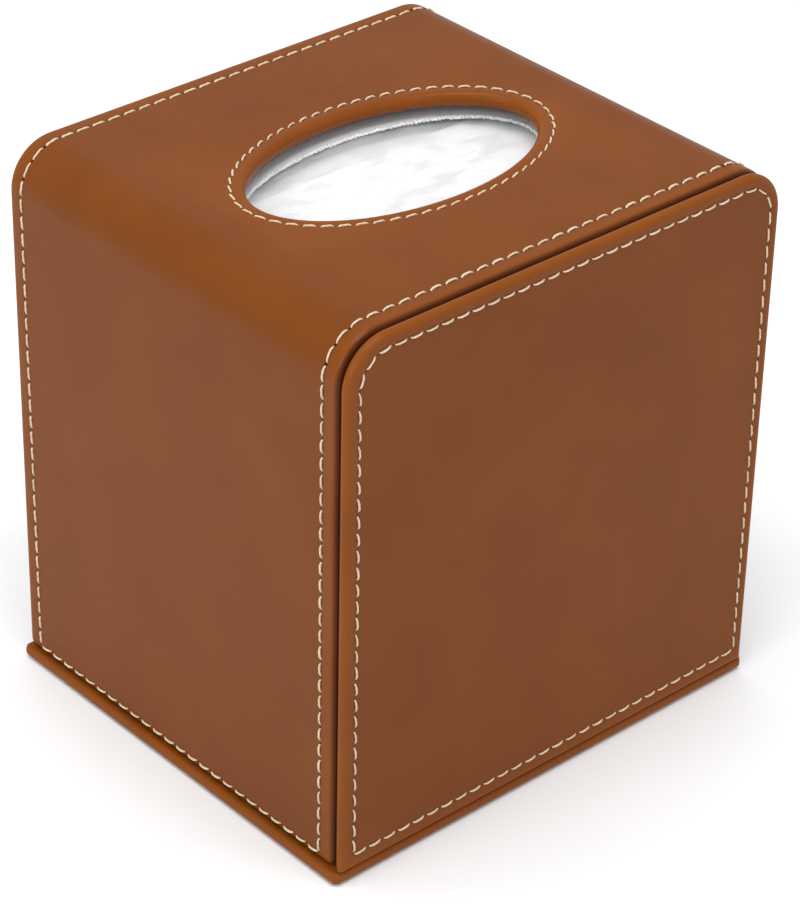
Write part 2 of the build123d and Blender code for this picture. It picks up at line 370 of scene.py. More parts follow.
def makeNap(name, dark, light, scale):
    # brushed cloth: suede lining or felt
    material, shader = newMaterial(name, 0.95, Sheen_Weight=0.35, Sheen_Roughness=0.4)
    nap = noise(material, scale, detail=5.0)
    cloud = noise(material, scale=60, stretch=(1, 0.6, 1))
    fine = ramp(material, nap, "Fac", [(0.3, dark), (0.7, light)])
    broad = ramp(material, cloud, "Fac", [(0.35, dark), (0.65, light)])
    colourFrom(material, shader, mixColours(material, cloud, "Fac", fine, broad))
    bumpFrom(material, shader, [(nap, "Fac", 0.6, 0.12 * mm)])
    return material


def makeMetal(name, colour, roughness, stretch):
    material, shader = newMaterial(name, roughness, Metallic=1.0)
    brushed = noise(material, scale=700, detail=4.0, stretch=stretch)
    darker = tuple(0.8 * channel for channel in colour)
    colourFrom(material, shader, ramp(material, brushed, "Fac", [(0.3, darker), (0.7, colour)]))
    roughnessFrom(material, shader, brushed, roughness, roughness + 0.15)
    bumpFrom(material, shader, [(brushed, "Fac", 0.1, 0.02 * mm)])
    return material


def makeCartonBoard():
    material, shader = newMaterial("coated carton board", 0.32, Coat_Weight=0.25, Coat_Roughness=0.2,
                                   Subsurface_Weight=0.5, Subsurface_Scale=3 * mm,
                                   Subsurface_Radius=(0.9, 1, 1))
    cloud = noise(material, scale=70)
    fibre = noise(material, scale=1800)
    base = ramp(material, cloud, "Fac", [(0.35, (0.80, 0.85, 0.90)), (0.65, (0.85, 0.90, 0.94))])
    fine = ramp(material, fibre, "Fac", [(0.4, (0.78, 0.84, 0.89)), (0.6, (0.86, 0.91, 0.95))])
    core = ramp(material, fibre, "Fac", [(0.35, (0.55, 0.57, 0.58)), (0.5, (0.98, 0.98, 0.97))])
    coated = mixColours(material, fibre, "Fac", base, fine)
    colourFrom(material, shader, mixColours(material, attribute(material, "torn"), "Fac", coated, core))
    roughnessFrom(material, shader, fibre, 0.26, 0.40)
    bumpFrom(material, shader, [(fibre, "Fac", 0.15, 0.04 * mm)])
    return material


def makeFilm():
    material, shader = newMaterial("crinkled clear film", 0.14, Alpha=0.18)
    crease = noise(material, scale=190, detail=4.0, stretch=(0.6, 1.4, 1))
    # painted shade: the film is greyer where the crease bump is low, as shade in its crinkles
    colourFrom(material, shader, ramp(material, crease, "Fac", [
        (0.40, (0.68, 0.70, 0.71)),
        (0.50, (0.90, 0.91, 0.92)),
        (0.65, (0.96, 0.96, 0.96)),
    ]))
    bumpFrom(material, shader, [(crease, "Fac", 0.7, 0.8 * mm)])
    return material


def makeTissue():
    material, shader = newMaterial("soft tissue", 0.95, Sheen_Weight=0.2)
    fibre = noise(material, scale=1400, detail=5.0)
    ply = noise(material, scale=900, detail=2.0, stretch=(0.05, 0.05, 1))
    soft = ramp(material, fibre, "Fac", [(0.3, (0.86, 0.86, 0.86)), (0.7, (0.94, 0.94, 0.94))])
    lines = ramp(material, ply, "Fac", [(0.4, (0.80, 0.80, 0.81)), (0.6, (0.94, 0.94, 0.94))])
    colourFrom(material, shader, mixColours(material, fibre, "Fac", soft, lines))
    bumpFrom(material, shader, [(ply, "Fac", 0.35, 0.25 * mm), (fibre, "Fac", 0.3, 0.06 * mm)])
    return material


def makeFloor():
    material, shader = newMaterial("pale floor", 0.9, Specular_IOR_Level=0.1)
    dust = noise(material, scale=6, detail=2.0)
    colourFrom(material, shader, ramp(material, dust, "Fac", [
        (0.3, (0.94, 0.96, 0.97)),
        (0.7, (0.96, 0.98, 0.99)),
    ]))
    return material


leather = makeLeather()
thread = makeThread()
needleHoleShade = makeNeedleHoleShade()
board = makeBoard()
cartonBoard = makeCartonBoard()
clearFilm = makeFilm()
tissuePaper = makeTissue()
nodeFinish = {
    "greyboard": board,
    "beech": makeBeech(),
    "suede_lining": makeNap("suede lining", (0.055, 0.024, 0.012), (0.115, 0.052, 0.026), 1600),
    "felt": makeNap("pressed felt", (0.018, 0.013, 0.010), (0.045, 0.034, 0.026), 900),
    "steel": makeMetal("zinc plate", (0.62, 0.63, 0.66), 0.35, (1, 1, 8)),
    "magnet": makeMetal("nickel plate", (0.78, 0.77, 0.74), 0.12, (3, 1, 3)),
    "saddle_leather": leather,
    "carton_board": cartonBoard,
    "clear_film": clearFilm,
    "tissue": tissuePaper,
}
for part in frame["record"]["subparts"]:
    for slot in frame["nodes"][part["node"]].material_slots:
        slot.material = nodeFinish[part["material_slot"]]
print("materials made")


box = {
    "cornerRadius": 12 * mm,
    "skin": 0.8 * mm,
    "arcSteps": 14,
    "dip": 0.22 * mm,            # how far a seam pulls the leather in
    "seamShoulder": 1.0 * mm,    # from a seam to where the leather is level again
    "facetSlack": 0.3 * mm,      # how far the flat facets of a rounded corner may lie off its curve
}

casing = {
    "wall": 4.0 * mm,
    "roll": 2.0 * mm,
    "innerRoll": 0.9 * mm,
    "turnIn": 12 * mm,
    "seamFromEdge": 5.0 * mm,
    "seamFromFoot": 2.0 * mm,
    "rollLightFade": 5.5 * mm,        # the painted light on the rolls ends this far from an edge
    "grooveShadeReach": 1.4 * mm,     # the painted groove shade ends this far from the front edge
    "grooveShadeFade": 0.9 * mm,
    "pitch": 4.6 * mm,
    "bow": 1.0,                  # share of the stitch's own bow
    "slant": 3,                  # degrees that a stitch leans from its line
    "footSlant": 4,
}

mouth = {
    "halfLength": 40.5 * mm,
    "halfWidth": 23.3 * mm,
    "window": (52 * mm, 36 * mm),   # half sizes of the rectangle that the oval is set into
    "corners": 96,
    "roll": 1.85 * mm,
    "rollSteps": 7,
    "underSteps": 5,
    "turnIn": 8 * mm,
    "seamFromEdge": 3.75 * mm,
    "pitch": 3.98 * mm,
    "bow": -0.8,
    "slant": 9,
    "linePoints": 180,
}

casingLow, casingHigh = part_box("casing_leather")
liningLow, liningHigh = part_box("casing_lining")
wall = casing["wall"]


def archDepth(x, z, half=casingHigh.x, top=casingHigh.z, radius=box["cornerRadius"]):
    # how far a point lies inside the rounded outline of the box's front
    overX = abs(x) - (half - radius)
    overZ = z - (top - radius)
    if overX > 0 and overZ > 0:
        return radius - math.hypot(overX, overZ)
    return radius - max(overX, overZ)


def roundTopCorners(piece, high, radius):
    pick(piece, "EDGE", lambda edge: near(middleOf(edge).z, high.z) and near(abs(middleOf(edge).x), high.x))
    bpy.ops.mesh.bevel(offset=radius, segments=box["arcSteps"], affect="EDGES")


def ovalShare(place, halfLength, halfWidth):
    # 0 in the middle of an oval, 1 on its edge and more outside it
    return math.hypot(place.x / halfLength, place.y / halfWidth)


def onOval(edge, halfLength, halfWidth, height):
    return all(near(ovalShare(corner.co, halfLength, halfWidth), 1, sameOval) and near(corner.co.z, height)
               for corner in edge.verts)


def openOval(piece, top, window, halves, corners):
    # a rectangle is opened in the piece's flat top and filled with a ring down to an oval
    windowX, windowY = window
    for sign in (-1, 1):
        cutLoop((sign * windowX, 0, 0), (1, 0, 0))
        cutLoop((0, sign * windowY, 0), (0, 1, 0))

    def onTop(element):
        return near(middleOf(element).z, top)

    def withinWindow(element):
        centre = middleOf(element)
        return abs(centre.x) < windowX and abs(centre.y) < windowY

    pick(piece, "FACE", lambda face: onTop(face) and withinWindow(face))
    bpy.ops.mesh.delete(type="FACE")

    def onWindow(edge):
        centre = middleOf(edge)
        onSide = (allAt(edge, 0, windowX) or allAt(edge, 0, -windowX)) and abs(centre.y) < windowY
        onEnd = (allAt(edge, 1, windowY) or allAt(edge, 1, -windowY)) and abs(centre.x) < windowX
        return onTop(edge) and (onSide or onEnd)

    bpy.ops.mesh.select_all(action="DESELECT")
    bpy.ops.mesh.primitive_circle_add(vertices=corners, radius=1, location=(0, 0, top))
    bpy.ops.transform.resize(value=(*halves, 1), center_override=(0, 0, top))
    pick(piece, "EDGE", lambda edge: onWindow(edge) or onOval(edge, *halves, top))
    bpy.ops.mesh.fill(use_beauty=True)


def cutMouth(piece, top):
    # the oval is opened in the leather, pressed in along its seam and rolled round the board's edge
    length, width = mouth["halfLength"], mouth["halfWidth"]
    seam, shoulder, roll = mouth["seamFromEdge"], box["seamShoulder"], mouth["roll"]
    growth, drop = seam + shoulder, 0.0
    openOval(piece, top, mouth["window"], (length + growth, width + growth), mouth["corners"])
    profile = [(seam, -box["dip"]), (seam - shoulder, 0)]   # (out from the oval, down from the top)
    for step in range(mouth["rollSteps"] + 1):
        turn = math.radians(90 * step / mouth["rollSteps"])
        profile.append((roll * (1 - math.sin(turn)), -roll * (1 - math.cos(turn))))
    for step in range(mouth["underSteps"] + 1):
        turn = math.radians(90 * step / mouth["underSteps"])
        profile.append((roll * (1 - math.cos(turn)), roll * (1 - math.sin(turn)) - wall))
    profile.append((mouth["turnIn"], -wall))
    pick(piece, "EDGE", lambda e: onOval(e, length + growth, width + growth, top) and len(e.link_faces) < 2)
    for newGrowth, newDrop in profile:
        bpy.ops.mesh.extrude_region_move(TRANSFORM_OT_translate={"value": (0, 0, newDrop - drop)})
        wider = (length + newGrowth) / (length + growth)
        deeper = (width + newGrowth) / (width + growth)
        bpy.ops.transform.resize(value=(wider, deeper, 1), center_override=(0, 0, top))
        growth, drop = newGrowth, newDrop


def buildCasing():
    # one sheet over the left, top and right boards, turned in round every edge
    low, high = casingLow, casingHigh
    piece = addBlock("leather_casing", low, high)
    openMesh(piece)
    pick(piece, "FACE", lambda face: abs(face.normal.y) > 0.5 or face.normal.z < -0.5)
    bpy.ops.mesh.delete(type="FACE")
    roundTopCorners(piece, high, box["cornerRadius"])
    closeMesh()
    useModifier(piece, "SOLIDIFY", thickness=wall, offset=-1, use_even_offset=True)

    def onRim(edge, depth):
        # the edges round both ends and along the foot, on the wall's outside or inside
        onEnd = allAt(edge, 1, low.y) or allAt(edge, 1, high.y)
        onFoot = allAt(edge, 2, low.z)
        atDepth = all(near(archDepth(c.co.x, max(c.co.z, low.z + mm)), depth, sameFace) for c in edge.verts)
        acrossWall = depth == 0 and onEnd and onFoot
        return (atDepth and (onEnd or onFoot)) or acrossWall

    openMesh(piece)
    pick(piece, "EDGE", lambda edge: onRim(edge, 0))
    bpy.ops.mesh.bevel(offset=casing["roll"], segments=6, affect="EDGES")
    pick(piece, "EDGE", lambda edge: onRim(edge, wall))
    bpy.ops.mesh.bevel(offset=casing["innerRoll"], segments=2, affect="EDGES")

    seams = (low.y + casing["seamFromEdge"], high.y - casing["seamFromEdge"])
    footSeam = low.z + casing["seamFromFoot"]
    for seam in seams:
        for step in (-1, 0, 1):
            cutLoop((0, seam + step * box["seamShoulder"], 0), (0, 1, 0))
    for step in (-1, 0, 1):
        cutLoop((0, 0, footSeam + step * box["seamShoulder"]), (0, 0, 1))

    turnedIn = low.y + casing["turnIn"]
    cutLoop((0, turnedIn, 0), (0, 1, 0))
    cutLoop((0, liningHigh.y, 0), (0, 1, 0))
    cutLoop((0, 0, liningLow.z), (0, 0, 1))

    def coveredByLining(face):
        centre = middleOf(face)
        onInside = near(archDepth(centre.x, centre.z), wall, box["facetSlack"])
        return onInside and turnedIn < centre.y < liningHigh.y and centre.z > liningLow.z

    pick(piece, "FACE", coveredByLining)
    bpy.ops.mesh.delete(type="FACE")

    crossing = 0.1 * mm   # the end seams reach the foot's seam, which stops just short of them
    pullIn(piece, lambda c: any(near(c.co.y, seam) for seam in seams)
           and abs(archDepth(c.co.x, c.co.z)) < sameFace and c.co.z > footSeam - crossing, box["dip"])
    pullIn(piece, lambda c: near(c.co.z, footSeam) and seams[0] + crossing < c.co.y < seams[1] - crossing
           and near(abs(c.co.x), high.x), box["dip"])

    cutMouth(piece, high.z)
    closeMesh()
    faceOutwards(piece)
    useModifier(piece, "SOLIDIFY", thickness=box["skin"], offset=-1, use_even_offset=True)

    def toEdge(place):
        toEnds = min(abs(place.y - low.y), abs(place.y - high.y))
        if place.z < high.z - wall - mm:
            return toEnds
        beyond = ovalShare(place, mouth["halfLength"], mouth["halfWidth"]) - 1
        return min(toEnds, max(0.0, beyond) * mouth["halfWidth"])

    # painted light on the rolls along the ends, the foot and round the mouth
    paint(piece, "roll", lambda place: 1 - toEdge(place) / casing["rollLightFade"])
    # painted shade along the casing's front edge, in the groove beside the drawer's front
    paint(piece, "groove_shade", lambda place: (casing["grooveShadeReach"] - (place.y - low.y)) / casing["grooveShadeFade"])
    finishPiece(piece, leather, "casing", "casing_leather")


panel = {
    "roll": 1.5 * mm,
    "backRoll": 1.6 * mm,
    "seamFromEdge": 3.4 * mm,
    "seamFromFoot": 4.4 * mm,
    "turnIn": 12 * mm,
    "grooveShadeReach": 1.1 * mm,
    "grooveShadeFade": 0.7 * mm,
    "pitch": 4.5 * mm,
    "bow": 0.8,
    "slant": 5,
}

backPanel = {
    "roll": 1.3 * mm,
    "backRoll": 0,
    "seamFromEdge": 3.4 * mm,
    "seamFromFoot": 4.9 * mm,
    "turnIn": 6 * mm,
    "pitch": 4.6 * mm,
    "bow": 0.8,
    "slant": 5,
}


def buildPanel(name, node, body, values, facing, radius):
    # a slab with rounded top corners; facing is -1 for the front and 1 for the back
    low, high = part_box(node)
    face = low.y if facing < 0 else high.y
    behind = high.y if facing < 0 else low.y
    seam, shoulder = values["seamFromEdge"], box["seamShoulder"]
    footSeam = low.z + values["seamFromFoot"]
    piece = addBlock(name, low, high)
    openMesh(piece)
    roundTopCorners(piece, high, radius)
    pick(piece, "EDGE", lambda edge: allAt(edge, 1, face))
    bpy.ops.mesh.bevel(offset=values["roll"], segments=6, affect="EDGES")
    if values["backRoll"]:
        pick(piece, "EDGE", lambda edge: allAt(edge, 1, behind))
        bpy.ops.mesh.bevel(offset=values["backRoll"], segments=6, affect="EDGES")

    pick(piece, "FACE", lambda f: f.normal.y * facing > 0.99 and near(middleOf(f).y, face))
    inset = values["roll"]
    for target in (seam - shoulder, seam, seam + shoulder):
        bpy.ops.mesh.inset(thickness=target - inset)
        inset = target
    # along the foot the seam stands higher than it is far from the other edges
    footRows = (low.z + values["roll"] + 0.2 * mm, low.z + seam + 2 * shoulder)
    pick(piece, "VERT", lambda c: near(c.co.y, face) and footRows[0] < c.co.z < footRows[1])
    bpy.ops.transform.translate(value=(0, 0, values["seamFromFoot"] - seam))

    def onSeam(corner):
        inside = archDepth(corner.co.x, corner.co.z, high.x, high.z, radius)
        atSides = near(inside, seam, box["facetSlack"] / 2) and corner.co.z > footSeam
        return near(corner.co.y, face) and (near(corner.co.z, footSeam) or atSides)

    pullIn(piece, onSeam, box["dip"])
    pick(piece, "FACE", lambda f: f.normal.y * facing < -0.99 and near(middleOf(f).y, behind))
    bpy.ops.mesh.inset(thickness=values["turnIn"] - values["backRoll"])
    bpy.ops.mesh.delete(type="FACE")
    closeMesh()
    faceOutwards(piece)
    useModifier(piece, "SOLIDIFY", thickness=box["skin"], offset=-1, use_even_offset=True)

    def toEdge(place):
        return min(max(0.0, archDepth(place.x, place.z, high.x, high.z, radius)), place.z - low.z)

    def grooveShadeAt(place):
        # painted shade where the front's edge turns down beside the casing
        return (values["grooveShadeReach"] - abs(place.y - behind)) / values["grooveShadeFade"] if facing < 0 else 0.0

    # painted light on the panel's rolled edges
    paint(piece, "roll", lambda place: 1 - toEdge(place) / seam)
    # painted shade in the groove beside the casing
    paint(piece, "groove_shade", grooveShadeAt)
    finishPiece(piece, leather, body, node)


base = {
    "roll": 1.0 * mm,
    "corner": 1.5 * mm,
    "turnIn": 16 * mm,
    "mitreGap": 0.35 * mm,
    "mitreReach": 0.6 * mm,
    "rollLightFade": 4 * mm,
}


def buildBase():
    # the slab's leather, open in the middle underneath, where the felt is
    low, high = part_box("base_leather")
    piece = addBlock("leather_base", low, high)
    openMesh(piece)
    pick(piece, "EDGE", isUpright)
    bpy.ops.mesh.bevel(offset=base["corner"], segments=4, affect="EDGES")
    pick(piece, "EDGE", lambda edge: allAt(edge, 2, low.z) or allAt(edge, 2, high.z))
    bpy.ops.mesh.bevel(offset=base["roll"], segments=5, affect="EDGES")
    pick(piece, "FACE", lambda f: f.normal.z < -0.99)
    bpy.ops.mesh.delete(type="FACE")
    pick(piece, "EDGE", lambda edge: allAt(edge, 2, low.z) and len(edge.link_faces) == 1)
    bpy.ops.mesh.extrude_region_move()
    halfDepth = (high.y - low.y) / 2
    narrower = (high.x - base["turnIn"]) / (high.x - base["roll"])
    shallower = (halfDepth - base["turnIn"]) / (halfDepth - base["roll"])
    bpy.ops.transform.resize(value=(narrower, shallower, 1), center_override=(0, low.y + halfDepth, low.z))
    closeMesh()
    faceOutwards(piece)
    useModifier(piece, "SOLIDIFY", thickness=box["skin"], offset=-1, use_even_offset=False)

    def onMitre(corner):
        # the outer corners' middle line, where the two sides' leather meets
        fromX = high.x - abs(corner.co.x)
        fromY = halfDepth - abs(corner.co.y - low.y - halfDepth)
        onOutside = fromX < base["mitreReach"] and corner.co.z < high.z - sameFace
        return onOutside and near(fromX, fromY, sameFace)

    openMesh(piece)
    pullIn(piece, onMitre, base["mitreGap"])
    closeMesh()

    def toEdge(place):
        return max(0.0, min(high.x - abs(place.x), place.y - low.y, high.y - place.y))

    # painted light on the base's rolled edges
    paint(piece, "roll", lambda place: 1 - toEdge(place) / base["rollLightFade"])
    paint(piece, "groove_shade", lambda place: 0.0)
    finishPiece(piece, leather, "casing", "base_leather")


innerRadius = box["cornerRadius"] - wall   # the back panel stands between the casing's walls
buildCasing()
buildPanel("leather_front_panel", "front_leather", "drawer", panel, -1, box["cornerRadius"])
buildPanel("leather_back_panel", "back_leather", "casing", backPanel, 1, innerRadius)
buildBase()


stitch = {
    "length": 4.0 * mm,
    "gap": 0.6 * mm,
    "width": 0.62 * mm,
    "height": 0.52 * mm,
    "rise": 0.28 * mm,
    "sunk": 0.30 * mm,
    "bow": 0.18 * mm,
    "sides": 6,
    "steps": 8,
    "startThickness": 0.92,            # of the thread's full thickness, where it comes out of the leather
    "endThickness": 0.50,              # and where it is pulled back in
    "thickEndFirst": (1, 0.2, -0.3),   # the way the stitches run, from their thick ends
    "skew": 0.85,                      # under 1, the stitch is highest nearer its thick end
    "twist": 50,                       # degrees of the thread's lay from one step to the next
    "leanSpread": (-2, 2),             # by hand, no two stitches are quite the same
    "bowSpread": (0.8, 1.2),
    "lengthSpread": (0.96, 1.03),
}

# a thin dark disc on the leather, painted shade standing in for each needle hole
needle = {
    "width": 0.85 * mm,
    "sides": 8,
    "behind": 0.2 * mm,     # from the stitch's start
    "depth": 0.03 * mm,
    "thickness": 0.06 * mm,
    "taper": (0.8, 0.7, 1),
}


def buildStitch():
    # one stitch along X, arched over Z = 0, with its ends in the leather and a dark disc at its start,
    # painted shade for its needle hole
    clearSelection()
    bpy.ops.mesh.primitive_circle_add(vertices=stitch["sides"], radius=1, fill_type="NGON",
                                      rotation=(0, math.radians(90), 0))
    piece = nameAndSettle("stitch")
    openMesh(piece)
    bpy.ops.mesh.select_all(action="SELECT")
    start = Vector((-stitch["length"] / 2, 0, -stitch["sunk"]))
    thick = stitch["startThickness"]
    bpy.ops.transform.resize(value=(1, thick * stitch["width"] / 2, thick * stitch["height"] / 2),
                             center_override=(0, 0, 0))
    bpy.ops.transform.translate(value=start)
    here = start
    for step in range(1, stitch["steps"] + 1):
        share = step / stitch["steps"]
        rise = 1 - abs(2 * share ** stitch["skew"] - 1) ** 4
        there = Vector(((share - 0.5) * stitch["length"], stitch["bow"] * math.sin(math.pi * share),
                        (stitch["rise"] + stitch["sunk"]) * rise - stitch["sunk"]))
        atEnds = stitch["startThickness"] + (stitch["endThickness"] - stitch["startThickness"]) * share
        newThick = atEnds + (1 - atEnds) * rise
        bpy.ops.mesh.extrude_region_move(TRANSFORM_OT_translate={"value": there - here})
        scale = newThick / thick
        bpy.ops.transform.resize(value=(1, scale, scale), center_override=there)
        bpy.ops.transform.rotate(value=math.radians(stitch["twist"]), orient_axis="X", center_override=there)
        here, thick = there, newThick
    bpy.ops.mesh.select_all(action="SELECT")
    bpy.ops.mesh.normals_make_consistent(inside=False)
    closeMesh()
    piece.data.materials.append(thread)
    piece.data.materials.append(needleHoleShade)
    bpy.ops.object.shade_smooth()

    clearSelection()
    holeAt = (-stitch["length"] / 2 - needle["behind"], 0, -needle["depth"])
    bpy.ops.mesh.primitive_circle_add(vertices=needle["sides"], radius=needle["width"] / 2, fill_type="NGON",
                                      location=holeAt)
    hole = nameAndSettle("hole")
    openMesh(hole)
    bpy.ops.mesh.select_all(action="SELECT")
    bpy.ops.mesh.extrude_region_move(TRANSFORM_OT_translate={"value": (0, 0, needle["thickness"])})
    bpy.ops.transform.resize(value=needle["taper"], center_override=holeAt)
    bpy.ops.mesh.select_all(action="SELECT")
    bpy.ops.mesh.normals_make_consistent(inside=False)
    closeMesh()
    hole.data.materials.append(thread)
    hole.data.materials.append(needleHoleShade)
    for face in hole.data.polygons:
        face.material_index = 1   # the slot of the painted needle-hole shade
    makeActive(piece)
    hole.select_set(True)
    bpy.ops.object.join()
    return piece


def spacedAlong(points, pitch, closed=False):
    # evenly spaced middles and directions along a line of points
    pairs = list(zip(points, points[1:] + points[:1] if closed else points[1:]))
    lengths = [(b - a).length for a, b in pairs]
    count = round(sum(lengths) / pitch)
    step = sum(lengths) / count
    spots, walked, index = [], 0.0, 0
    for number in range(count):
        target = (number + 0.5) * step
        while walked + lengths[index] < target:
            walked += lengths[index]
            index += 1
        a, b = pairs[index]
        spots.append((a + (b - a) * ((target - walked) / lengths[index]), (b - a).normalized()))
    return spots


def archLine(half, top, radius, foot, steps=16):
    # (x, z) points up the left side, over the top and down the right side
    left = [(-half, foot)]
    for step in range(steps + 1):
        turn = math.radians(90 * step / steps)
        left.append((-half + radius - radius * math.cos(turn), top - radius + radius * math.sin(turn)))
    return left + [(-x, z) for x, z in reversed(left)]


def archNormal(half, top, radius):
    def outward(place):
        overX = abs(place.x) - (half - radius)
        overZ = place.z - (top - radius)
        if overX > 0 and overZ > 0:
            return Vector((math.copysign(overX, place.x), 0, overZ)).normalized()
        if overZ > 0:
            return Vector((0, 0, 1))
        return Vector((math.copysign(1, place.x), 0, 0))
    return outward


def sew(name, body, line, pitch, outwardAt, bow, slant, closed=False):
    # lays a copy of the stitch at each pitch of the line, leaning by slant degrees, and joins them
    copies = []
    stretch = (pitch - stitch["gap"]) / stitch["length"]
    for middle, along in spacedAlong(line, pitch, closed):
        outward = outwardAt(middle)
        turned = -1 if along.dot(Vector(stitch["thickEndFirst"])) < 0 else 1
        along = turned * along
        side = outward.cross(along).normalized()
        facing = Matrix((along, side, outward)).transposed().to_4x4()
        lean = Matrix.Rotation(math.radians(slant + chance.uniform(*stitch["leanSpread"])), 4, "Z")
        bowed = turned * bow * chance.uniform(*stitch["bowSpread"])
        size = Matrix.Diagonal((stretch * chance.uniform(*stitch["lengthSpread"]), bowed, 1, 1))
        copy = stitchModel.copy()
        copy.data = stitchModel.data.copy()
        copy.data.transform(Matrix.Translation(middle) @ facing @ lean @ size)
        if bowed < 0:
            copy.data.flip_normals()
        bpy.context.scene.collection.objects.link(copy)
        copies.append(copy)
    clearSelection()
    for copy in copies:
        copy.select_set(True)
    bpy.context.view_layer.objects.active = copies[0]
    bpy.ops.object.join()
    seam = bpy.context.object
    seam.name = name
    seam.data.name = name
    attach(seam, body)
    print(name, "stitches:", len(copies))


def sewCasing():
    depth, pitch = box["dip"], casing["pitch"]
    half, top, radius = casingHigh.x - depth, casingHigh.z - depth, box["cornerRadius"] - depth
    foot = casingLow.z + casing["seamFromFoot"]
    frontY = casingLow.y + casing["seamFromEdge"]
    backY = casingHigh.y - casing["seamFromEdge"]
    outward = archNormal(half, top, radius)
    arch = archLine(half, top, radius, foot)
    frontLine = [Vector((x, frontY, z)) for x, z in arch]
    backLine = [Vector((x, backY, z)) for x, z in reversed(arch)]
    sew("casing_front_seam", "casing", frontLine, pitch, outward, casing["bow"], casing["slant"])
    sew("casing_back_seam", "casing", backLine, pitch, outward, casing["bow"], casing["slant"])
    leftFoot = [Vector((-half, backY, foot)), Vector((-half, frontY, foot))]
    rightFoot = [Vector((half, frontY, foot)), Vector((half, backY, foot))]
    sew("casing_left_foot_seam", "casing", leftFoot, pitch, outward, -casing["bow"], casing["footSlant"])
    sew("casing_right_foot_seam", "casing", rightFoot, pitch, outward, -casing["bow"], casing["footSlant"])


def sewPanel(name, node, body, values, facing, radius):
    low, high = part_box(node)
    y = low.y + box["dip"] if facing < 0 else high.y - box["dip"]
    inset = values["seamFromEdge"]
    arch = archLine(high.x - inset, high.z - inset, radius - inset, low.z + values["seamFromFoot"])
    if facing > 0:
        arch = arch[::-1]
    line = [Vector((x, y, z)) for x, z in arch]
    bottom = [line[-1], line[0]]
    pitch, bow, slant = values["pitch"], values["bow"], values["slant"]
    outward = Vector((0, facing, 0))
    sew(name + "_seam", body, line, pitch, lambda place: outward, -bow, slant)
    sew(name + "_foot_seam", body, bottom, pitch, lambda place: outward, bow, slant)


def sewMouth():
    growth = mouth["seamFromEdge"]
    points = []
    for number in range(mouth["linePoints"]):
        turn = math.radians(360 * number / mouth["linePoints"])
        points.append(Vector(((mouth["halfLength"] + growth) * math.cos(turn),
                              (mouth["halfWidth"] + growth) * math.sin(turn), casingHigh.z - box["dip"])))
    sew("mouth_seam", "casing", points, mouth["pitch"], lambda place: Vector((0, 0, 1)),
        mouth["bow"], mouth["slant"], closed=True)


stitchModel = buildStitch()
sewCasing()
sewPanel("front_panel", "front_leather", "drawer", panel, -1, box["cornerRadius"])
sewPanel("back_panel", "back_leather", "casing", backPanel, 1, innerRadius)
sewMouth()
bpy.data.objects.remove(stitchModel)


carton = {
    "fold": 0.8 * mm,
    "crease": 0.3 * mm,
    "board": 0.7 * mm,
    "window": (50 * mm, 32 * mm),   # half sizes of the rectangle that the torn oval is set into
    "tornLength": 43.0 * mm,        # half sizes of the torn oval
    "tornWidth": 22.8 * mm,
    "teeth": 224,
    "toothDepth": 0.5 * mm,
    "cleanEdge": 0.7 * mm,          # from the torn edge out to unharmed board
    "fray": 0.35 * mm,
    "tornReach": 1.014,             # of the oval's size, where the torn colour ends
    "tornFade": 0.01,
    "flapTop": 84 * mm,
    "flapStep": 0.25 * mm,
}


